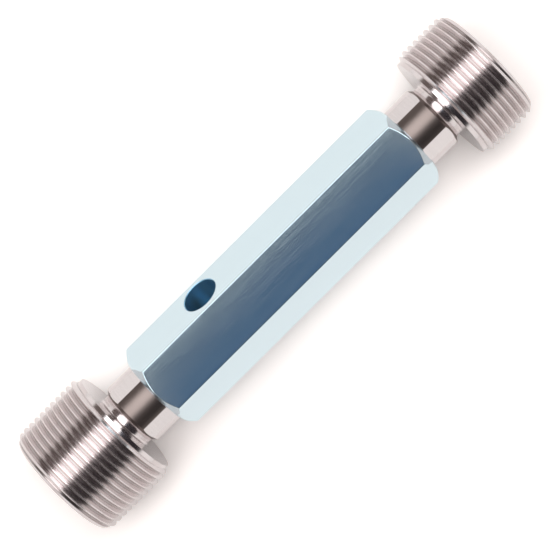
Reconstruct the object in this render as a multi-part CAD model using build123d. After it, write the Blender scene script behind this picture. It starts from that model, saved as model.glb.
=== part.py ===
from build123d import *
import os
from math import cos, radians, tan

# A double-ended thread plug gauge: a hexagonal handle that holds a GO and a NO GO plug member,
# each with a self-holding taper shank. Sizes are millimetres. The gauge stands on its GO head:
# Z runs along its axis, from the outer face of the GO head at zero to the outer face of the
# NO GO head, and one flat of the handle, the marking face, looks along -Y.

# Handle, a hexagonal bar with its corners turned off at both ends
handle_flat_count = 6
handle_length = 101.6
handle_across_flats = 25.4
handle_edge_radius = 0.43
end_face_diameter = 24.4
end_chamfer_angle = 44.0

# Drift hole, square to the flat that lies beside the marking face, and the bore along the axis
drift_hole_diameter = 11.11
drift_hole_distance = 28.6
drift_hole_edge_break = 0.2
knock_out_bore_diameter = 9.5

# Self-holding taper: the diameter loses a millimetre in each 24 mm of length
taper_large_diameter = 14.3
taper_length_per_mm = 24.0
taper_clearance = 0.01
shoulder_gap = 0.15
shank_to_drift_gap = 0.15
shank_end_chamfer = 0.6
socket_run_out = 0.4

# Plug members: the threaded head is left at its major diameter, with the lead chamfers at its ends
thread_major_diameter = 38.1
go_head_length = 25.4
no_go_head_length = 19.05
outer_chamfer_length = 2.2
outer_chamfer_depth = 1.8
inner_chamfer_length = 2.8
inner_chamfer_depth = 1.6
neck_depth = 1.42
neck_length = 3.175
collar_diameter = 20.64
collar_length = 9.525
collar_edge_break = 0.25
collar_flat_depth = 0.35
collar_flat_count = 4
go_flat_turn = -3.0
no_go_flat_turn = -5.5

# Centre hole in the head's outer face, on which the member turned while it was ground
centre_mouth_diameter = 8.0
centre_pilot_diameter = 3.2
centre_pilot_length = 3.0
centre_angle = 60.0

# What follows from the driving sizes
angle_between_flats = 360.0 / handle_flat_count
head_radius = thread_major_diameter / 2
collar_radius = collar_diameter / 2
neck_radius = collar_radius - neck_depth
drift_hole_radius = drift_hole_diameter / 2
shank_length = drift_hole_distance - drift_hole_radius - shank_to_drift_gap
handle_bottom = go_head_length + neck_length + collar_length + shoulder_gap
handle_top = handle_bottom + handle_length
overall_length = handle_top + shoulder_gap + collar_length + neck_length + no_go_head_length


def taper_radius(depth):
    """Radius of the shank's taper at a depth below the end face of the handle."""
    return (taper_large_diameter - depth / taper_length_per_mm) / 2


def turned(points):
    """Solid turned about Z from an outline of (radius, height) points that starts and ends on the axis."""
    outline = Plane.XZ * Polyline(*points, close=True)
    return revolve(make_face(outline), Axis.Z)


def centre_hole():
    """Sixty-degree centre hole with its pilot, opening at the origin and going up."""
    mouth_radius = centre_mouth_diameter / 2
    pilot_radius = centre_pilot_diameter / 2
    cone_depth = (mouth_radius - pilot_radius) / tan(radians(centre_angle / 2))
    pilot_end = cone_depth + centre_pilot_length
    return turned([(0, 0), (mouth_radius, 0), (pilot_radius, cone_depth), (pilot_radius, pilot_end), (0, pilot_end)])


def handle():
    """Hexagonal bar with turned ends, a taper socket in each end, the bore between and the drift hole."""
    section = RegularPolygon(handle_across_flats / 2, handle_flat_count, major_radius=False)
    section = fillet(section.vertices(), handle_edge_radius)
    bar = extrude(section, handle_length)

    end_radius = end_face_diameter / 2
    corner_radius = handle_across_flats / 2 / cos(radians(angle_between_flats / 2))
    chamfer_length = (corner_radius - end_radius) * tan(radians(end_chamfer_angle))
    turned_ends = turned([
        (0, 0),
        (end_radius, 0),
        (corner_radius, chamfer_length),
        (corner_radius, handle_length - chamfer_length),
        (end_radius, handle_length),
        (0, handle_length),
    ])
    bar = bar & turned_ends

    socket_length = shank_length + shank_to_drift_gap + socket_run_out
    mouth_radius = taper_radius(0) + taper_clearance
    end_of_socket = taper_radius(socket_length) + taper_clearance
    socket = turned([
        (0, 0),
        (mouth_radius, 0),
        (end_of_socket, socket_length),
        (0, socket_length),
    ])
    bar -= socket
    bar -= Pos(0, 0, handle_length) * Rot(180, 0, 0) * socket
    bar -= Pos(0, 0, handle_length / 2) * Cylinder(knock_out_bore_diameter / 2, handle_length)

    half_width = handle_across_flats / 2
    hole = Cylinder(drift_hole_radius, handle_across_flats)
    flare = Cone(drift_hole_radius, drift_hole_radius + drift_hole_edge_break, drift_hole_edge_break)
    to_mouth = half_width - drift_hole_edge_break / 2
    hole += Pos(0, 0, to_mouth) * flare
    hole += Rot(180, 0, 0) * Pos(0, 0, to_mouth) * flare
    across_the_bar = Rot(0, 0, -angle_between_flats) * Rot(90, 0, 0)
    bar -= Pos(0, 0, drift_hole_distance) * across_the_bar * hole
    return bar


def plug_member(head_length, flat_turn):
    """One plug member, with the outer face of its head at zero and its shank pointing up.

    flat_turn is the angle from -Y to the middle of the land between two wrench flats.
    """
    neck_start = head_length
    collar_start = neck_start + neck_length
    collar_end = collar_start + collar_length
    shank_end = collar_end + shoulder_gap + shank_length
    shank_end_radius = taper_radius(shank_length)
    body = turned([
        (0, 0),
        (head_radius - outer_chamfer_depth, 0),
        (head_radius, outer_chamfer_length),
        (head_radius, head_length - inner_chamfer_length),
        (head_radius - inner_chamfer_depth, head_length),
        (neck_radius, neck_start),
        (neck_radius, collar_start),
        (collar_radius - collar_edge_break, collar_start),
        (collar_radius, collar_start + collar_edge_break),
        (collar_radius, collar_end - collar_edge_break),
        (collar_radius - collar_edge_break, collar_end),
        (taper_radius(-shoulder_gap), collar_end),
        (taper_radius(shank_length - shank_end_chamfer), shank_end - shank_end_chamfer),
        (shank_end_radius - shank_end_chamfer, shank_end),
        (0, shank_end),
    ])

    flat_distance = collar_radius - collar_flat_depth
    step = 360.0 / collar_flat_count
    waste = Box(collar_diameter, collar_diameter, collar_length)
    waste = Pos(0, -flat_distance - collar_radius, collar_start + collar_length / 2) * waste
    for index in range(collar_flat_count):
        body -= Rot(0, 0, flat_turn + (index + 0.5) * step) * waste

    body -= centre_hole()
    return body


parts = {
    "handle": Pos(0, 0, handle_bottom) * handle(),
    "go_member": plug_member(go_head_length, go_flat_turn),
    "no_go_member": Pos(0, 0, overall_length) * Rot(180, 0, 0) * plug_member(no_go_head_length, 180 - no_go_flat_turn),
}

os.makedirs("parts", exist_ok=True)
for name, solid in parts.items():
    export_step(solid, f"parts/{name}.step")
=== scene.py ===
import logging
import math
from collections.abc import Callable
from dataclasses import dataclass
from enum import Enum

import bpy
from mathutils import Matrix, Vector


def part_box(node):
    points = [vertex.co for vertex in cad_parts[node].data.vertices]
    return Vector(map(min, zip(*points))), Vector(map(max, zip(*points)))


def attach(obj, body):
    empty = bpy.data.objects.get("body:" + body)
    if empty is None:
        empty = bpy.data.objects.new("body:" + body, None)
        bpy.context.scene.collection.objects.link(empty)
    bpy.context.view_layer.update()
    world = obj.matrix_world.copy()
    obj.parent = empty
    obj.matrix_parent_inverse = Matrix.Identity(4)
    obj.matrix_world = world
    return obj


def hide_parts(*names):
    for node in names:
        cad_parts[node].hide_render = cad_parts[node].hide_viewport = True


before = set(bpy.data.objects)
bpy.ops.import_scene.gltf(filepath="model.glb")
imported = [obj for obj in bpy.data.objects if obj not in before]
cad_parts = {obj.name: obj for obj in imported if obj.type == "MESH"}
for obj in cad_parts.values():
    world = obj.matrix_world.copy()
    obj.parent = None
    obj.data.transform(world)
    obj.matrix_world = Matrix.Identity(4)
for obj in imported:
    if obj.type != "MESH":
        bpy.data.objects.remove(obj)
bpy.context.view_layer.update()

Piece = bpy.types.Object
Material = bpy.types.Material
Tree = bpy.types.NodeTree
Node = bpy.types.Node
Socket = bpy.types.NodeSocket
Point = tuple[float, float]
Colour = tuple[float, float, float, float]
Stops = tuple[tuple[float, str], ...]

LOG = logging.getLogger("plug_gauge")
MM = 0.001
BODY = "root"

# Points nearer to each other than this are merged
WELD = 0.0002 * MM

# Where a Mix node in colour mode keeps its two colours and its result
COLOUR_A, COLOUR_B, MIXED_COLOUR = 6, 7, 2

# A noise texture's values lie between these, but for rare peaks
NOISE_LOW, NOISE_HIGH = 0.25, 0.75

# The photograph is a square of 550 pixels, and the gauge crosses it from corner to corner
PHOTO_WIDTH = 550
FOCAL_PIXELS = 2000.0
SENSOR_WIDTH = 36.0


class Cut(Enum):
    """What a cutter does to a piece."""

    AWAY = "DIFFERENCE"
    KEEP_COMMON = "INTERSECT"


class Skin(Enum):
    """A second, darker skin that a piece has in places, partly its own finish and partly painted shade, each by
    the name of the attribute that marks it.
    """

    TURNED = "turned_skin_and_painted_shade"
    DRILLED = "drilled_skin_and_painted_shade"


def linear(code: str) -> Colour:
    """Turns an sRGB hex colour to the linear values that a shader takes.

    Args:
        code: six hex digits, red first.

    Returns:
        Linear red, green and blue, and an alpha of 1.
    """
    parts = [int(code[i : i + 2], 16) / 255 for i in (0, 2, 4)]
    low, high = [c / 12.92 for c in parts], [((c + 0.055) / 1.055) ** 2.4 for c in parts]
    red, green, blue = (a if c <= 0.04045 else b for c, a, b in zip(parts, low, high))
    return red, green, blue, 1.0


def add_node(tree: Tree, kind: str, inputs: dict[str | int, object], **settings: object) -> Node:
    """Adds one shader node with its settings, its values and its links.

    Args:
        tree: the node tree that gets it.
        kind: Blender's name for the node.
        inputs: for each input, by name or number, a value or the output socket that feeds it.
        settings: the node's own properties.

    Returns:
        The node.
    """
    node = tree.nodes.new(kind)
    for name, value in settings.items():
        setattr(node, name, value)
    for name, value in inputs.items():
        if isinstance(value, Socket):
            tree.links.new(value, node.inputs[name])
        else:
            node.inputs[name].default_value = value
    return node


def colour_stops(node: Node, stops: list[tuple[float, Colour]]) -> Socket:
    """Sets the stops of a Color Ramp node.

    Args:
        node: the Color Ramp node.
        stops: position and linear colour of each stop, in order.

    Returns:
        The node's colour.
    """
    elements = node.color_ramp.elements
    while len(elements) < len(stops):
        elements.new(1.0)
    for element, (position, colour) in zip(elements, stops):
        element.position, element.color = position, colour
    return node.outputs["Color"]


def new_material(name: str) -> tuple[Material, Tree, Node]:
    """Makes an empty node material.

    Args:
        name: the material's name.

    Returns:
        The material, its tree and its output node.
    """
    material = bpy.data.materials.new(name)
    material.use_nodes = True
    tree = material.node_tree
    tree.nodes.clear()
    return material, tree, tree.nodes.new("ShaderNodeOutputMaterial")


@dataclass(frozen=True)
class LinedMetal:
    """A metal finish with fine lines in it, and a second, darker skin where the piece is marked for one, which is
    partly painted shade.

    Lengths are in millimetres, and line_run is how far one line reaches along X, Y and Z.
    """

    name: str
    colour: str
    dull_colour: str
    metallic: float
    roughness: float
    roughness_spread: float
    line_run: tuple[float, float, float]
    line_detail: float
    line_strength: float
    line_depth: float
    second_skin: Skin
    second_colour: str
    second_roughness: float

    def surface(self, tree: Tree) -> dict[str, Socket]:
        """Adds the lines and the second skin, with its painted shade, to a material.

        Args:
            tree: the material's node tree.

        Returns:
            What feeds the shader's base colour, roughness and normal.
        """
        place = add_node(tree, "ShaderNodeTexCoord", {}).outputs["Object"]
        scale = tuple(1 / (length * MM) for length in self.line_run)
        lines = add_node(tree, "ShaderNodeMapping", {"Vector": place, "Scale": scale}).outputs[0]
        grain = add_node(
            tree, "ShaderNodeTexNoise", {"Vector": lines, "Scale": 1.0, "Detail": self.line_detail}
        ).outputs["Fac"]
        tone = add_node(
            tree,
            "ShaderNodeMix",
            {"Factor": grain, COLOUR_A: linear(self.dull_colour), COLOUR_B: linear(self.colour)},
            data_type="RGBA",
        )
        rough = add_node(
            tree,
            "ShaderNodeMapRange",
            {
                "Value": grain,
                "From Min": NOISE_LOW,
                "From Max": NOISE_HIGH,
                "To Min": self.roughness - self.roughness_spread,
                "To Max": self.roughness + self.roughness_spread,
            },
        )
        bump = add_node(
            tree,
            "ShaderNodeBump",
            {"Height": grain, "Strength": self.line_strength, "Distance": self.line_depth * MM},
        )
        marked = add_node(tree, "ShaderNodeAttribute", {}, attribute_name=self.second_skin.value)
        second = marked.outputs["Fac"]
        base = add_node(
            tree,
            "ShaderNodeMix",
            {"Factor": second, COLOUR_A: tone.outputs[MIXED_COLOUR], COLOUR_B: linear(self.second_colour)},
            data_type="RGBA",
        )
        dulled = add_node(
            tree, "ShaderNodeMix", {"Factor": second, "A": rough.outputs[0], "B": self.second_roughness}
        )
        return {
            "Base Color": base.outputs[MIXED_COLOUR],
            "Roughness": dulled.outputs[0],
            "Normal": bump.outputs[0],
        }

    def gloss(self, tree: Tree) -> dict[str | int, object]:
        """What a finish gives the shader beside its surface: nothing, unless the finish says so."""
        return {}

    def material(self) -> Material:
        """Makes the material.

        Returns:
            The material, with one shader that all of its nodes feed.
        """
        material, tree, output = new_material(self.name)
        inputs = {"Metallic": self.metallic, **self.surface(tree), **self.gloss(tree)}
        shader = add_node(tree, "ShaderNodeBsdfPrincipled", inputs)
        tree.links.new(shader.outputs[0], output.inputs["Surface"])
        return material


@dataclass(frozen=True)
class GroundSteel(LinedMetal):
    """Hardened gauge steel, cylindrically ground and lapped, with a browner skin that is partly turned and partly
    painted shade.
    """

    # To the eye: a bright grey metal a little on the warm side. Grinding leaves rings round the axis that are
    # too fine to show one by one, so they are drawn 0.22 mm apart, and they draw each highlight out along the
    # gauge. The second skin is browner and its highlights wider and softer. It is partly the turning tool's skin
    # and partly painted shade in the thread's roots, in the corner under the collar and on the lands that face
    # front and back.
    name: str = "ground_tool_steel"
    colour: str = "E1DADA"
    dull_colour: str = "D3CBCB"
    metallic: float = 1.0
    roughness: float = 0.19
    roughness_spread: float = 0.04
    line_run: tuple[float, float, float] = (9.0, 9.0, 0.22)
    line_detail: float = 3.0
    line_strength: float = 0.35
    line_depth: float = 0.0004
    # The second skin's browner, darker colour is partly painted shade
    second_skin: Skin = Skin.TURNED
    second_colour: str = "857A76"
    second_roughness: float = 0.38
    anisotropic: float = 0.5
    anisotropic_turn: float = 0.25

    def gloss(self, tree: Tree) -> dict[str | int, object]:
        """Gives the rings their sheen: they scatter light along the axis, so highlights run along the gauge.

        Args:
            tree: the material's node tree.

        Returns:
            What the shader gets beside its surface.
        """
        around = add_node(tree, "ShaderNodeTangent", {}, direction_type="RADIAL", axis="Z")
        return {
            "Anisotropic": self.anisotropic,
            "Anisotropic Rotation": self.anisotropic_turn,
            "Tangent": around.outputs[0],
        }


@dataclass(frozen=True)
class AnodisedAluminium(LinedMetal):
    """Extruded aluminium bar, satin etched, anodised and dyed pale blue, with its holes drilled before the dye."""

    # To the eye: a very pale, even blue that mirrors its surroundings almost like metal, with a glassy skin
    # over it. The die's lines run along the bar and only just take the edge off a reflection. They are drawn
    # 0.18 mm apart, coarser than the real ones, to show at all. Drilled walls are rougher, and their deep blue is
    # partly painted shade inside the holes.
    name: str = "pale_blue_anodised_aluminium"
    colour: str = "D8ECF3"
    dull_colour: str = "D1E8F1"
    metallic: float = 0.95
    roughness: float = 0.065
    roughness_spread: float = 0.02
    line_run: tuple[float, float, float] = (0.18, 0.18, 14.0)
    line_detail: float = 2.0
    line_strength: float = 0.2
    line_depth: float = 0.0003
    # The drilled skin's deeper blue is partly painted shade inside the holes
    second_skin: Skin = Skin.DRILLED
    second_colour: str = "84BAD8"
    second_roughness: float = 0.35
    coat_roughness: float = 0.05
    coat_ior: float = 1.6

    def gloss(self, tree: Tree) -> dict[str | int, object]:
        """The dye tints the metal under a clear hard skin, which the coat stands for."""
        return {"Coat Weight": 1.0, "Coat Roughness": self.coat_roughness, "Coat IOR": self.coat_ior}


def select_only(piece: Piece) -> None:
    """Selects one object and makes it the active one.

    Args:
        piece: the object.
    """
    bpy.ops.object.select_all(action="DESELECT")
    piece.select_set(True)
    bpy.context.view_layer.objects.active = piece


def edit(piece: Piece, *steps: Callable[[], object]) -> None:
    """Runs steps in edit mode on the whole of a piece, with all of it selected first.

    Args:
        piece: the mesh object.
        steps: calls that each run one edit operator.
    """
    select_only(piece)
    bpy.ops.object.mode_set(mode="EDIT")
    bpy.ops.mesh.select_all(action="SELECT")
    for step in steps:
        step()
    bpy.ops.object.mode_set(mode="OBJECT")


def weld(piece: Piece) -> None:
    """Merges doubled points, closes poles and turns all faces outwards.

    Args:
        piece: the mesh object.
    """
    edit(
        piece,
        lambda: bpy.ops.mesh.remove_doubles(threshold=WELD),
        lambda: bpy.ops.mesh.dissolve_degenerate(threshold=WELD),
        lambda: bpy.ops.mesh.select_all(action="SELECT"),
        lambda: bpy.ops.mesh.normals_make_consistent(inside=False),
    )


def apply_modifier(piece: Piece, kind: str, **settings: object) -> None:
    """Adds one modifier and applies it.

    Args:
        piece: the mesh object.
        kind: Blender's name for the modifier.
        settings: the modifier's properties.
    """
    modifier = piece.modifiers.new(kind.title(), kind)
    for name, value in settings.items():
        setattr(modifier, name, value)
    select_only(piece)
    bpy.ops.object.modifier_apply(modifier=modifier.name)


def cut(piece: Piece, cutter: Piece, how: Cut) -> None:
    """Cuts a piece with a closed cutter, and removes the cutter.

    Args:
        piece: the mesh object that stays.
        cutter: the closed mesh that cuts it.
        how: whether the cutter's space goes or is all that stays.
    """
    apply_modifier(piece, "BOOLEAN", operation=how.value, solver="EXACT", object=cutter)
    bpy.data.objects.remove(cutter)
    weld(piece)


def traced(name: str, points: list[Point]) -> Piece:
    """Draws an outline in the XZ plane by extruding one point to the next.

    Args:
        name: the new object's name.
        points: radius and height of each point, in millimetres.

    Returns:
        The outline, a mesh of edges alone.
    """
    radius, height = points[0]
    bpy.ops.object.select_all(action="DESELECT")
    bpy.ops.mesh.primitive_plane_add(size=MM, location=(radius * MM, 0, height * MM))
    outline = bpy.context.object
    outline.name = name
    bpy.ops.object.transform_apply(location=True)
    moves = [((r - r0) * MM, 0, (z - z0) * MM) for (r0, z0), (r, z) in zip(points, points[1:])]
    edit(
        outline,
        lambda: bpy.ops.mesh.merge(type="CENTER"),
        lambda: [bpy.ops.mesh.extrude_vertices_move(TRANSFORM_OT_translate={"value": move}) for move in moves],
    )
    return outline


def turned(name: str, points: list[Point], steps: int) -> Piece:
    """Turns an outline that starts and ends on the axis into a closed solid.

    Args:
        name: the new object's name.
        points: radius and height of each point, in millimetres.
        steps: facets in a full turn.

    Returns:
        The closed solid.
    """
    piece = traced(name, points)
    edit(piece, lambda: bpy.ops.mesh.spin(steps=steps, angle=math.tau, center=(0, 0, 0), axis=(0, 0, 1)))
    weld(piece)
    return piece


def arc(centre: Point, radius: float, start: float, end: float, steps: int) -> list[Point]:
    """Points along a round stretch of an outline.

    Args:
        centre: radius and height of the arc's centre, in millimetres.
        radius: the arc's radius.
        start: angle of its first point, in degrees, with 0 away from the axis and 90 up.
        end: angle of its last point.
        steps: number of straight pieces.

    Returns:
        The points, both ends included.
    """
    angles = [math.radians(start + (end - start) * i / steps) for i in range(steps + 1)]
    return [(centre[0] + radius * math.cos(a), centre[1] + radius * math.sin(a)) for a in angles]


def dress(piece: Piece, material: Material, sharp_over: float) -> None:
    """Shades a piece smooth across its shallow edges and gives it its one material.

    Args:
        piece: the mesh object.
        material: its finish.
        sharp_over: edges that turn by more than this, in degrees, stay crisp.
    """
    piece.data.materials.clear()
    piece.data.materials.append(material)
    select_only(piece)
    bpy.ops.object.shade_smooth_by_angle(angle=math.radians(sharp_over))
    # At a weight of 100 the large faces lead the shading, and the narrow strips beside them follow
    apply_modifier(piece, "WEIGHTED_NORMAL", keep_sharp=True, weight=100)


@dataclass
class PlugMember:
    """One plug member: threaded head, relief neck, collar with four wrench flats, and taper shank.

    Lengths are in millimetres and angles in degrees. Heights run from the head's outer face to the shank.
    """

    node: str
    piece_name: str
    head_length: float
    flat_turn: float
    thread_turn: float
    looks_up: bool

    # The thread, with sixty degrees between its flanks, and crest and root an eighth of the pitch wide each
    major_diameter: float = 38.1
    pitch: float = 25.4 / 12
    flank_angle: float = 30.0
    flat_share: float = 1 / 8
    crest_rounding: float = 0.2
    crest_steps: int = 3
    run_in_turns: int = 3

    # The head's ends: a lead chamfer outside, and a plain relief land behind the thread's runout
    outer_chamfer_length: float = 2.2
    outer_chamfer_depth: float = 1.8
    relief_depth: float = 1.6
    relief_land: float = 1.28

    # Neck and collar. The fillet under the collar ends at an angle, before it would run level with the face.
    neck_length: float = 3.175
    neck_radius: float = 8.9
    head_fillet: float = 0.6
    collar_fillet: float = 1.7
    collar_fillet_end: float = 123.0
    fillet_steps: int = 8
    collar_radius: float = 10.32
    collar_length: float = 9.525
    collar_edge_break: float = 0.25
    collar_flat_depth: float = 0.35
    collar_flats: int = 4
    flat_cutter_share: float = 0.8

    # Taper shank, hidden in the handle, and the lapping centre in the head's outer face
    shoulder_gap: float = 0.15
    taper_large_diameter: float = 14.3
    taper_length_per_mm: float = 24.0
    shank_length: float = 22.895
    shank_end_chamfer: float = 0.6
    centre_mouth_radius: float = 4.0
    centre_pilot_radius: float = 1.6
    centre_pilot_length: float = 3.0
    centre_half_angle: float = 30.0

    # The darker second skin, partly turned and partly painted shade: its width on the flanks beside each root, its
    # strength there, and its reach under the collar
    darkened_root_width: float = 0.15
    root_darkening: float = 0.5
    darkened_corner_reach: float = 0.75

    # A face's tilt is the upright share of its normal: small on roots and on the collar's side, large on flanks
    root_tilt: float = 0.1
    collar_tilt: float = 0.5
    flank_tilt: float = 0.8
    root_tolerance: float = 0.02

    steps: int = 240
    spare: float = 0.5
    sharp_over: float = 24.0

    def root_radius(self) -> float:
        """Radius of the thread's flat root, as deep as the flanks between crest and root make it."""
        flank = (0.5 - self.flat_share) * self.pitch
        return self.major_diameter / 2 - flank / math.tan(math.radians(self.flank_angle))

    def thread_outline(self) -> list[Point]:
        """Draws one pitch of the thread, from the middle of a root to the middle of the next.

        Returns:
            Radius and height of each point.
        """
        crest, root, flat = self.major_diameter / 2, self.root_radius(), self.flat_share * self.pitch / 2
        slope, middle, round_ = math.tan(math.radians(self.flank_angle)), self.pitch / 2, self.crest_rounding
        centre = flat - round_ * slope
        skin = (root + self.darkened_root_width, flat + self.darkened_root_width * slope)
        return [
            (root, 0.0),
            (root, flat),
            skin,
            *arc((crest - round_, middle - centre), round_, self.flank_angle - 90, 0, self.crest_steps),
            *arc((crest - round_, middle + centre), round_, 0, 90 - self.flank_angle, self.crest_steps),
            (skin[0], self.pitch - skin[1]),
            (root, self.pitch - flat),
            (root, self.pitch),
        ]

    def thread_bar(self, top: float) -> Piece:
        """Screws the thread up past both ends of the head, and closes it into a bar.

        Args:
            top: height that the bar has to reach, past the end of the shank.

        Returns:
            The closed bar, threaded over the head's length.
        """
        bar = traced(f"{self.piece_name}_bar", self.thread_outline())
        low = -self.run_in_turns * self.pitch
        # Both ends are cut midway between two rows of points, so that no slivers are left
        rise = self.pitch / self.steps
        foot, end = (
            low + (math.floor((height - low) / rise) + 0.5) * rise
            for height in (-self.pitch, self.head_length - self.relief_land / 2)
        )
        apply_modifier(
            bar,
            "SCREW",
            screw_offset=self.pitch * MM,
            iterations=math.ceil((end - low) / self.pitch) + 1,
            steps=self.steps,
            render_steps=self.steps,
            angle=math.tau,
        )
        turn = Matrix.Rotation(math.radians(self.thread_turn), 4, "Z")
        bar.data.transform(turn @ Matrix.Translation((0, 0, low * MM)))
        weld(bar)
        level = {"plane_no": (0, 0, 1), "threshold": WELD}
        edit(
            bar,
            lambda: bpy.ops.mesh.bisect(plane_co=(0, 0, foot * MM), clear_inner=True, **level),
            lambda: bpy.ops.mesh.select_all(action="SELECT"),
            lambda: bpy.ops.mesh.bisect(plane_co=(0, 0, end * MM), clear_outer=True, **level),
            lambda: bpy.ops.mesh.extrude_region_move(TRANSFORM_OT_translate={"value": (0, 0, (top - end) * MM)}),
            lambda: bpy.ops.mesh.select_all(action="SELECT"),
            lambda: bpy.ops.mesh.fill_holes(sides=0),
        )
        weld(bar)
        return bar

    def taper_radius(self, depth: float) -> float:
        """Radius of the taper at a depth below the end face of the handle."""
        return (self.taper_large_diameter - depth / self.taper_length_per_mm) / 2

    def head_outline(self) -> list[Point]:
        """Draws the centre hole and the head, with spare metal outside for the thread.

        Returns:
            Radius and height of each point, from the axis to the head's inner face.
        """
        crest = self.major_diameter / 2
        outside = crest + self.spare
        chamfer_slope = self.outer_chamfer_length / self.outer_chamfer_depth
        relief_slope = math.tan(math.radians(self.flank_angle))
        land_radius = crest - self.relief_depth
        land_start = self.head_length - self.relief_land
        cone_slope = math.tan(math.radians(self.centre_half_angle))
        cone_depth = (self.centre_mouth_radius - self.centre_pilot_radius) / cone_slope
        pilot_end = cone_depth + self.centre_pilot_length
        return [
            (0, pilot_end),
            (self.centre_pilot_radius, pilot_end),
            (self.centre_pilot_radius, cone_depth),
            (self.centre_mouth_radius, 0),
            (crest - self.outer_chamfer_depth, 0),
            (outside, (outside - crest + self.outer_chamfer_depth) * chamfer_slope),
            (outside, land_start - (outside - land_radius) * relief_slope),
            (land_radius, land_start),
            (land_radius, self.head_length),
        ]

    def blank_outline(self) -> list[Point]:
        """Draws the whole turned member, from the centre hole to the end of the shank.

        Returns:
            Radius and height of each point, from the axis and back to it.
        """
        collar_start = self.head_length + self.neck_length
        collar_end = collar_start + self.collar_length
        shank_end = collar_end + self.shoulder_gap + self.shank_length
        small, large, neck, count = self.head_fillet, self.collar_fillet, self.neck_radius, self.fillet_steps
        edge, collar, bevel = self.collar_edge_break, self.collar_radius, self.shank_end_chamfer
        return [
            *self.head_outline(),
            *arc((neck + small, self.head_length + small), small, 270, 180, count),
            *arc((neck + large, collar_start - large), large, 180, self.collar_fillet_end, count),
            (collar - edge, collar_start),
            (collar, collar_start + edge),
            (collar, collar_end - edge),
            (collar - edge, collar_end),
            (self.taper_radius(-self.shoulder_gap), collar_end),
            (self.taper_radius(self.shank_length - bevel), shank_end - bevel),
            (self.taper_radius(self.shank_length) - bevel, shank_end),
            (0, shank_end),
        ]

    def cut_wrench_flats(self, piece: Piece) -> None:
        """Mills the four shallow flats across the collar.

        Args:
            piece: the member, before it is placed.
        """
        width = self.flat_cutter_share * self.collar_radius
        away = self.collar_radius - self.collar_flat_depth + self.collar_radius / 2
        middle = self.head_length + self.neck_length + self.collar_length / 2
        for index in range(self.collar_flats):
            turn = math.radians(self.flat_turn + (index + 0.5) * 360 / self.collar_flats)
            bpy.ops.object.select_all(action="DESELECT")
            bpy.ops.mesh.primitive_cube_add(size=MM)
            waste = bpy.context.object
            waste.scale = (width, self.collar_radius, self.collar_length + self.collar_edge_break)
            waste.location = Vector((math.sin(turn) * away, -math.cos(turn) * away, middle)) * MM
            waste.rotation_euler = (0, 0, turn)
            bpy.ops.object.transform_apply(location=True, rotation=True, scale=True)
            cut(piece, waste, Cut.AWAY)

    def mark_skins(self, piece: Piece) -> None:
        """Marks the darker skin on two of the collar's lands, the corner under it and the thread's roots. It is
        partly what was left as turned and partly painted shade.

        The edges of the collar's flats are kept crisp.

        Args:
            piece: the member, before it is placed.
        """
        mesh = piece.data
        collar_start = (self.head_length + self.neck_length) * MM
        collar_end = collar_start + self.collar_length * MM
        corner_start = collar_start - self.darkened_corner_reach * MM
        corner_end = collar_start + self.collar_edge_break * MM
        land = (self.collar_radius - self.collar_flat_depth / 2) * MM
        root, near = self.root_radius() * MM, self.root_tolerance * MM
        skin = mesh.attributes.new(Skin.TURNED.value, "FLOAT", "CORNER")
        crisp: set[tuple[int, int]] = set()
        for polygon in mesh.polygons:
            x, y, z = polygon.center
            tilt = abs(polygon.normal.z)
            on_collar = collar_start < z < collar_end and tilt < self.collar_tilt
            on_land = on_collar and math.hypot(x, y) > land
            if on_collar and not on_land:
                crisp.update(polygon.edge_keys)
            # The lands that face front and back lie nearer to the Y axis than to the X axis
            # Painted shade, in part: the corner under the collar and the lands that face front and back get the
            # whole darker skin, the side lands none
            darkened_fully = corner_start < z < corner_end or (on_land and abs(x) < abs(y))
            in_thread = z < self.head_length * MM and (tilt < self.root_tilt or tilt > self.flank_tilt)
            for loop, vertex in zip(polygon.loop_indices, polygon.vertices):
                at = mesh.vertices[vertex].co
                in_root = in_thread and abs(math.hypot(at.x, at.y) - root) < near
                # Painted shade in the roots, in part: they get the darker skin at part strength
                skin.data[loop].value = 1.0 if darkened_fully else self.root_darkening if in_root else 0.0
        for edge in mesh.edges:
            edge.use_edge_sharp = edge.key in crisp

    def build(self, steel: Material) -> Piece:
        """Makes the member in one piece, places it in the frame and dresses it.

        Args:
            steel: the finish.

        Returns:
            The finished piece.
        """
        outline = self.blank_outline()
        shank_end = outline[-1][1]
        piece = self.thread_bar(shank_end + self.pitch)
        cut(piece, turned(f"{self.piece_name}_blank", outline, self.steps), Cut.KEEP_COMMON)
        self.cut_wrench_flats(piece)
        self.mark_skins(piece)
        piece.name = self.piece_name
        if self.looks_up:
            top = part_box(self.node)[1].z
            piece.data.transform(Matrix.Translation((0, 0, top)) @ Matrix.Rotation(math.pi, 4, "X"))
        dress(piece, steel, self.sharp_over)
        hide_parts(self.node)
        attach(piece, BODY)
        return piece


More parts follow.
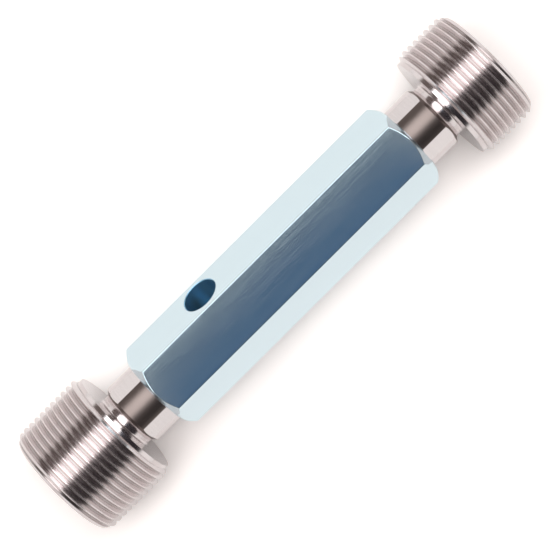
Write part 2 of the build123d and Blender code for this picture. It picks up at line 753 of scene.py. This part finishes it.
@dataclass
class Handle:
    """The hexagonal handle, its turned ends, sockets, bore and drift hole.

    Lengths are in millimetres and angles in degrees.
    """

    node: str = "handle"
    piece_name: str = "hex_handle"

    # The bar: its long edges turn by 60 degrees and are rounded by the die, the turned ones by about 45
    flats: int = 6
    edge_radius: float = 0.43
    edge_turn: float = 60.0
    arris_radius: float = 0.22
    arris_turn: float = 45.0
    end_face_diameter: float = 24.4
    end_chamfer_angle: float = 44.0
    bevel_steps: int = 4

    # The drift hole, the bore along the axis and the taper sockets
    drift_hole_diameter: float = 11.11
    drift_hole_distance: float = 28.6
    drift_hole_turn: float = 60.0
    drift_hole_edge_break: float = 0.2
    bore_diameter: float = 9.5
    socket_mouth_radius: float = 7.16
    socket_length: float = 23.445
    taper_length_per_mm: float = 24.0

    # An edge or a normal that has this share of its length in one direction counts as running that way
    aligned: float = 0.9

    steps: int = 240
    spare: float = 1.0
    sharp_over: float = 25.0

    def size(self) -> tuple[float, float, float]:
        """The bar's lowest height, its length and its width across flats, read from the frame."""
        low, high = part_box(self.node)
        return low.z / MM, (high.z - low.z) / MM, (high.y - low.y) / MM

    def bar(self, bottom: float, length: float, across: float) -> Piece:
        """Cuts the hexagonal bar to length and turns its corners off at both ends.

        Args:
            bottom: height of its lower end face.
            length: its length.
            across: its width across flats.

        Returns:
            The bar, with its edges still sharp.
        """
        corner, depth = across / math.sqrt(3), length + 2 * self.spare
        bpy.ops.object.select_all(action="DESELECT")
        bpy.ops.mesh.primitive_cylinder_add(vertices=self.flats, radius=corner * MM, depth=depth * MM)
        piece = bpy.context.object
        piece.name = self.piece_name
        flat_to_front = Matrix.Rotation(math.radians(180 / self.flats), 4, "Z")
        piece.data.transform(Matrix.Translation((0, 0, (bottom + length / 2) * MM)) @ flat_to_front)
        end_radius, outside, top = self.end_face_diameter / 2, corner + self.spare, bottom + length
        rise = (outside - end_radius) * math.tan(math.radians(self.end_chamfer_angle))
        envelope = [
            (0, bottom),
            (end_radius, bottom),
            (outside, bottom + rise),
            (outside, top - rise),
            (end_radius, top),
            (0, top),
        ]
        cut(piece, turned("end_envelope", envelope, self.steps), Cut.KEEP_COMMON)
        return piece

    def round_edges(self, piece: Piece) -> None:
        """Rounds the long edges of the extruded bar, and takes the sharpness off the turned ones.

        Args:
            piece: the bar with sharp edges.
        """
        mesh = piece.data
        normals: dict[tuple[int, int], list[Vector]] = {}
        for polygon in mesh.polygons:
            for key in polygon.edge_keys:
                normals.setdefault(key, []).append(polygon.normal)
        # A bevel is set by its width, so each radius is turned to one, and the narrower to a share of the other
        width = self.edge_radius * math.tan(math.radians(self.edge_turn / 2))
        share = self.arris_radius * math.tan(math.radians(self.arris_turn / 2)) / width
        weights = mesh.attributes.new("bevel_weight_edge", "FLOAT", "EDGE")
        for edge in mesh.edges:
            one, other = normals[edge.key]
            a, b = (mesh.vertices[i].co for i in edge.vertices)
            if one.angle(other) > math.radians(self.sharp_over):
                along = abs(a.z - b.z) > self.aligned * (a - b).length
                weights.data[edge.index].value = 1.0 if along else share
        apply_modifier(piece, "BEVEL", width=width * MM, segments=self.bevel_steps, limit_method="WEIGHT")

    def sockets(self, bottom: float, top: float) -> Piece:
        """The cutter for both taper sockets and the bore between them.

        Args:
            bottom: height of the lower end face.
            top: height of the upper one.

        Returns:
            The cutter, which starts and ends outside the bar.
        """
        bore = self.bore_diameter / 2
        deep = self.socket_mouth_radius - self.socket_length / self.taper_length_per_mm / 2
        mouth = self.socket_mouth_radius + self.spare / self.taper_length_per_mm / 2
        outline = [
            (0, bottom - self.spare),
            (mouth, bottom - self.spare),
            (deep, bottom + self.socket_length),
            (bore, bottom + self.socket_length),
            (bore, top - self.socket_length),
            (deep, top - self.socket_length),
            (mouth, top + self.spare),
            (0, top + self.spare),
        ]
        return turned("sockets", outline, self.steps)

    def drift_hole(self, bottom: float, across: float) -> Piece:
        """The cutter for the drift hole and the small flare at both of its mouths.

        Args:
            bottom: height of the bar's lower end face.
            across: the bar's width across flats.

        Returns:
            The cutter, in its place.
        """
        radius, half, flare = self.drift_hole_diameter / 2, across / 2, self.drift_hole_edge_break
        outline = [
            (0, -half - self.spare),
            (radius + flare + self.spare, -half - self.spare),
            (radius, flare - half),
            (radius, half - flare),
            (radius + flare + self.spare, half + self.spare),
            (0, half + self.spare),
        ]
        drift = turned("drift_hole", outline, self.steps // 2)
        drift.data.transform(
            Matrix.Translation((0, 0, (bottom + self.drift_hole_distance) * MM))
            @ Matrix.Rotation(math.radians(-self.drift_hole_turn), 4, "Z")
            @ Matrix.Rotation(math.radians(90), 4, "X")
        )
        return drift

    def mark_drilled_and_shaded(self, piece: Piece, bottom: float, length: float) -> None:
        """Marks the drilled and reamed walls inside, which are rougher than the outside, and gives them a deeper
        blue that is partly painted shade.

        Args:
            piece: the handle with all of its holes.
            bottom: height of its lower end face.
            length: its length.
        """
        mesh = piece.data
        mouth = Vector((0, 0, bottom + self.drift_hole_distance)) * MM
        along = Matrix.Rotation(math.radians(-self.drift_hole_turn), 3, "Z") @ Vector((0, 1, 0))
        reach = (self.drift_hole_diameter / 2 + 2 * self.drift_hole_edge_break) * MM
        skin = mesh.attributes.new(Skin.DRILLED.value, "FLOAT", "CORNER")
        for polygon in mesh.polygons:
            centre = polygon.center
            between_ends = bottom * MM + WELD < centre.z < (bottom + length) * MM - WELD
            inside = between_ends and math.hypot(centre.x, centre.y) < self.end_face_diameter / 2 * MM
            in_mouth = (centre - mouth).cross(along).length < reach
            in_mouth = in_mouth and abs(polygon.normal.dot(along)) < self.aligned
            for loop in polygon.loop_indices:
                skin.data[loop].value = 1.0 if inside or in_mouth else 0.0

    def build(self, finish: Material) -> Piece:
        """Makes the handle in one piece and dresses it.

        Args:
            finish: the anodised finish.

        Returns:
            The finished piece.
        """
        bottom, length, across = self.size()
        piece = self.bar(bottom, length, across)
        self.round_edges(piece)
        cut(piece, self.sockets(bottom, bottom + length), Cut.AWAY)
        cut(piece, self.drift_hole(bottom, across), Cut.AWAY)
        self.mark_drilled_and_shaded(piece, bottom, length)
        dress(piece, finish, self.sharp_over)
        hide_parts(self.node)
        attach(piece, BODY)
        return piece


@dataclass
class PhotoCamera:
    """The camera at the photograph's viewing angle, rolled so that the gauge crosses the picture.

    Lengths are in millimetres and angles in degrees. The side is the way towards the photograph's lower
    right, square to the gauge and to the view.
    """

    distance: float = 572.0
    height: float = 101.5
    aim_height: float = 85.73
    aim_side: float = 0.43
    turn: float = 3.35
    roll: float = 44.87
    nearest: float = 10.0
    farthest: float = 20000.0

    def axes(self) -> tuple[Vector, Vector]:
        """The direction from the gauge to the camera, and the side direction."""
        a = math.radians(self.turn)
        return Vector((-math.sin(a), -math.cos(a), 0)), Vector((math.cos(a), -math.sin(a), 0))

    def build(self) -> None:
        """Makes the camera and sets it as the scene's own."""
        to_camera, side = self.axes()
        up_the_gauge = Vector((0, 0, 1))
        target = up_the_gauge * self.aim_height + side * self.aim_side
        place = target + to_camera * self.distance + up_the_gauge * (self.height - self.aim_height)
        back = (place - target).normalized()
        along = side.cross(back).normalized()
        along *= math.copysign(1, along.z)
        roll = math.radians(self.roll)
        right = math.cos(roll) * along + math.sin(roll) * side
        up = math.sin(roll) * along - math.cos(roll) * side
        data = bpy.data.cameras.new("photo_camera")
        data.sensor_width = SENSOR_WIDTH
        data.lens = SENSOR_WIDTH * FOCAL_PIXELS / PHOTO_WIDTH
        data.clip_start, data.clip_end = self.nearest * MM, self.farthest * MM
        camera = bpy.data.objects.new("photo_camera", data)
        bpy.context.scene.collection.objects.link(camera)
        camera.matrix_world = Matrix.Translation(place * MM) @ Matrix((right, up, back)).transposed().to_4x4()
        bpy.context.scene.camera = camera


@dataclass
class Studio:
    """Floor, soft light and surroundings. None of it is part of the gauge.

    Lengths are in millimetres. Angles are in degrees from the camera's direction round the gauge, and
    positive towards the side.
    """

    camera: PhotoCamera
    white: str = "FEFDFB"

    # The lamp fills the surroundings from its left angle to its right one
    lamp_distance: float = 900.0
    lamp_left: float = -32.5
    lamp_right: float = 4.6
    lamp_length: float = 3200.0
    lamp_level: float = 2.7

    # What stands round the gauge, by angle: white behind it, dark beside the camera. Just right of the camera is a
    # low blue grey card, and above and below it come the lamp's pale edge and then the dark.
    world_level: float = 1.08
    left: Stops = (
        (-180, "FFFFFF"),
        (-69, "FFFDFA"),
        (-65, "6F6460"),
        (-36, "655B58"),
        (-33, "40393A"),
        (4, "40393A"),
    )
    card: Stops = ((5.3, "7A7064"), (6.1, "345373"), (10, "345373"))
    past_card: Stops = ((4.2, "C8BEB8"), (10, "302C30"))
    right: Stops = ((13, "302C30"), (59, "302C30"), (64, "FFFDFA"), (180, "FFFFFF"))

    # Heights in the surroundings are shares of a direction's length: the card's middle, half its height and how
    # far it fades beyond that, and where the plain tent starts over and under the gauge
    card_middle: float = -0.023
    card_half: float = 0.078
    card_fade: float = 1.5
    ends_colour: str = "D0C8C4"
    ends_start: float = 0.74
    ends_full: float = 0.9

    # The paper close behind the gauge, and the glow that lifts it for the camera and in reflections, which ambient
    # occlusion darkens into a painted shadow next to the gauge
    paper_colour: str = "F0EEEC"
    floor_behind: float = 20.5
    floor_size: float = 4000.0
    floor_reach: float = 260.0
    fade_start: float = 0.6
    lift_colour: str = "FFF1ED"
    floor_lift: float = 0.42
    mirrored_lift: float = 0.14
    lift_reach: float = 14.0
    lift_samples: int = 8
    shadow_power: float = 2.0

    def direction(self, degrees: float) -> Vector:
        """Turns an angle round the gauge to a level direction.

        Args:
            degrees: the angle from the camera's direction, positive towards the side.

        Returns:
            The direction, of length 1.
        """
        to_camera, side = self.camera.axes()
        a = math.radians(degrees)
        return math.cos(a) * to_camera + math.sin(a) * side

    def build_lamp(self) -> None:
        """A long soft light that stands along the gauge, a little to one side of the camera."""
        half = math.radians(self.lamp_right - self.lamp_left) / 2
        data = bpy.data.lights.new("long_soft_light", "AREA")
        data.shape = "RECTANGLE"
        data.size = 2 * self.lamp_distance * math.tan(half) * MM
        data.size_y = self.lamp_length * MM
        data.energy = self.lamp_level * math.pi * data.size * data.size_y
        lamp = bpy.data.objects.new("long_soft_light", data)
        bpy.context.scene.collection.objects.link(lamp)
        out = self.direction((self.lamp_left + self.lamp_right) / 2)
        up = Vector((0, 0, 1))
        across = up.cross(out)
        place = out * self.lamp_distance * MM + up * self.camera.aim_height * MM
        lamp.matrix_world = Matrix.Translation(place) @ Matrix((across, up, out)).transposed().to_4x4()
        lamp.visible_camera = False

    def by_angle(self, tree: Tree, way: Socket) -> list[Socket]:
        """Adds what stands round the gauge, by its angle from the camera's direction.

        Args:
            tree: the world's node tree.
            way: the direction that is looked in.

        Returns:
            The colours level with the card, and those above and below it.
        """
        to_camera, side = self.camera.axes()
        ahead = add_node(tree, "ShaderNodeVectorMath", {0: way, 1: to_camera}, operation="DOT_PRODUCT")
        aside = add_node(tree, "ShaderNodeVectorMath", {0: way, 1: side}, operation="DOT_PRODUCT")
        angle = add_node(
            tree, "ShaderNodeMath", {0: aside.outputs["Value"], 1: ahead.outputs["Value"]}, operation="ARCTAN2"
        )
        turn = add_node(
            tree, "ShaderNodeMapRange", {"Value": angle.outputs[0], "From Min": -math.pi, "From Max": math.pi}
        )
        colours = []
        for middle in (self.card, self.past_card):
            ramp = add_node(tree, "ShaderNodeValToRGB", {"Fac": turn.outputs[0]})
            stops = [((degrees + 180) / 360, linear(code)) for degrees, code in self.left + middle + self.right]
            colours.append(colour_stops(ramp, stops))
        return colours

    def build_world(self) -> None:
        """Surroundings by direction for the light and the reflections, and plain white behind the picture."""
        world = bpy.data.worlds.new("studio")
        bpy.context.scene.world = world
        world.use_nodes = True
        tree = world.node_tree
        tree.nodes.clear()
        way = add_node(tree, "ShaderNodeTexCoord", {}).outputs["Generated"]
        level_with_card, off_card = self.by_angle(tree, way)
        height = add_node(tree, "ShaderNodeSeparateXYZ", {0: way}).outputs["Z"]
        above_middle = add_node(tree, "ShaderNodeMath", {0: height, 1: self.card_middle}, operation="SUBTRACT")
        apart = add_node(tree, "ShaderNodeMath", {0: above_middle.outputs[0]}, operation="ABSOLUTE")
        faded = add_node(
            tree,
            "ShaderNodeMapRange",
            {
                "Value": apart.outputs[0],
                "From Min": self.card_half,
                "From Max": self.card_fade * self.card_half,
            },
            interpolation_type="SMOOTHSTEP",
        )
        sides = add_node(
            tree,
            "ShaderNodeMix",
            {"Factor": faded.outputs[0], COLOUR_A: level_with_card, COLOUR_B: off_card},
            data_type="RGBA",
        )
        steepness = add_node(tree, "ShaderNodeMath", {0: height}, operation="ABSOLUTE")
        ends = add_node(
            tree,
            "ShaderNodeMapRange",
            {"Value": steepness.outputs[0], "From Min": self.ends_start, "From Max": self.ends_full},
            interpolation_type="SMOOTHSTEP",
        )
        tent = add_node(
            tree,
            "ShaderNodeMix",
            {
                "Factor": ends.outputs[0],
                COLOUR_A: sides.outputs[MIXED_COLOUR],
                COLOUR_B: linear(self.ends_colour),
            },
            data_type="RGBA",
            blend_type="LIGHTEN",
        )
        around = add_node(
            tree, "ShaderNodeBackground", {"Color": tent.outputs[MIXED_COLOUR], "Strength": self.world_level}
        )
        plain = add_node(tree, "ShaderNodeBackground", {"Color": linear(self.white), "Strength": 1.0})
        rays = add_node(tree, "ShaderNodeLightPath", {})
        mixed = add_node(
            tree,
            "ShaderNodeMixShader",
            {0: rays.outputs["Is Camera Ray"], 1: around.outputs[0], 2: plain.outputs[0]},
        )
        add_node(tree, "ShaderNodeOutputWorld", {"Surface": mixed.outputs[0]})

    def lift(self, tree: Tree, rays: Node) -> Node:
        """Adds a glow to the paper, which ambient occlusion darkens into a painted shadow next to the gauge.

        Args:
            tree: the paper's node tree.
            rays: its Light Path node.

        Returns:
            The shader that gives the glow.
        """
        painted_shadow_ao = add_node(
            tree, "ShaderNodeAmbientOcclusion", {"Distance": self.lift_reach * MM}, samples=self.lift_samples
        )
        full = add_node(
            tree,
            "ShaderNodeMath",
            {0: rays.outputs["Is Camera Ray"], 1: self.floor_lift - self.mirrored_lift, 2: self.mirrored_lift},
            operation="MULTIPLY_ADD",
        )
        share = add_node(
            tree, "ShaderNodeMath", {0: painted_shadow_ao.outputs["AO"], 1: self.shadow_power}, operation="POWER"
        )
        level = add_node(tree, "ShaderNodeMath", {0: full.outputs[0], 1: share.outputs[0]}, operation="MULTIPLY")
        return add_node(
            tree, "ShaderNodeEmission", {"Color": linear(self.lift_colour), "Strength": level.outputs[0]}
        )

    def paper(self) -> Material:
        """Makes white paper that shows from its front alone, and fades out to plain white far from the gauge.

        Returns:
            The material.
        """
        # To the eye: a matt warm white sheet with the lamp's shadow, deepened next to the gauge by painted shadow
        # in its glow
        material, tree, output = new_material("white_paper")
        rays = add_node(tree, "ShaderNodeLightPath", {})
        side = add_node(tree, "ShaderNodeNewGeometry", {})
        matt = add_node(tree, "ShaderNodeBsdfDiffuse", {"Color": linear(self.paper_colour)})
        lift = self.lift(tree, rays)
        lit = add_node(tree, "ShaderNodeAddShader", {0: matt.outputs[0], 1: lift.outputs[0]})
        off_middle = add_node(
            tree,
            "ShaderNodeVectorMath",
            {0: side.outputs["Position"], 1: Vector((0, 0, self.camera.aim_height * MM))},
            operation="DISTANCE",
        )
        far = add_node(
            tree,
            "ShaderNodeMapRange",
            {
                "Value": off_middle.outputs["Value"],
                "From Min": self.fade_start * self.floor_reach * MM,
                "From Max": self.floor_reach * MM,
            },
        )
        plain = add_node(tree, "ShaderNodeEmission", {"Color": linear(self.white), "Strength": 1.0})
        sheet = add_node(
            tree, "ShaderNodeMixShader", {0: far.outputs[0], 1: lit.outputs[0], 2: plain.outputs[0]}
        )
        asked = add_node(
            tree,
            "ShaderNodeMath",
            {0: rays.outputs["Is Camera Ray"], 1: rays.outputs["Is Glossy Ray"]},
            operation="ADD",
            use_clamp=True,
        )
        front = add_node(
            tree,
            "ShaderNodeMath",
            {0: asked.outputs[0], 1: side.outputs["Backfacing"]},
            operation="SUBTRACT",
            use_clamp=True,
        )
        clear = add_node(tree, "ShaderNodeBsdfTransparent", {})
        seen = add_node(
            tree, "ShaderNodeMixShader", {0: front.outputs[0], 1: clear.outputs[0], 2: sheet.outputs[0]}
        )
        tree.links.new(seen.outputs[0], output.inputs["Surface"])
        return material

    def build_floor(self) -> None:
        """The pale floor that the gauge lies on, close behind it as the camera sees it."""
        to_camera, side = self.camera.axes()
        bpy.ops.object.select_all(action="DESELECT")
        bpy.ops.mesh.primitive_plane_add(size=self.floor_size * MM)
        floor = bpy.context.object
        floor.name = "floor"
        place = -to_camera * self.floor_behind * MM + Vector((0, 0, self.camera.aim_height * MM))
        turn = Matrix((side, Vector((0, 0, 1)), to_camera)).transposed().to_4x4()
        floor.data.transform(Matrix.Translation(place) @ turn)
        floor.data.materials.append(self.paper())

    def build(self) -> None:
        """Makes the whole studio."""
        self.build_lamp()
        self.build_world()
        self.build_floor()
        bpy.context.scene.view_settings.view_transform = "Standard"


def main() -> None:
    """Builds the gauge, the camera and the studio."""
    logging.basicConfig(level=logging.INFO, format="%(name)s: %(message)s")
    steel = GroundSteel().material()
    blue = AnodisedAluminium().material()
    pieces = [
        Handle().build(blue),
        PlugMember("go_member", "go_plug", 25.4, -3.0, 80.0, looks_up=False).build(steel),
        PlugMember("no_go_member", "no_go_plug", 19.05, 185.5, -85.0, looks_up=True).build(steel),
    ]
    for piece in pieces:
        LOG.info("%s: %d faces", piece.name, len(piece.data.polygons))
    camera = PhotoCamera()
    camera.build()
    Studio(camera).build()


if __name__ == "__main__":
    main()
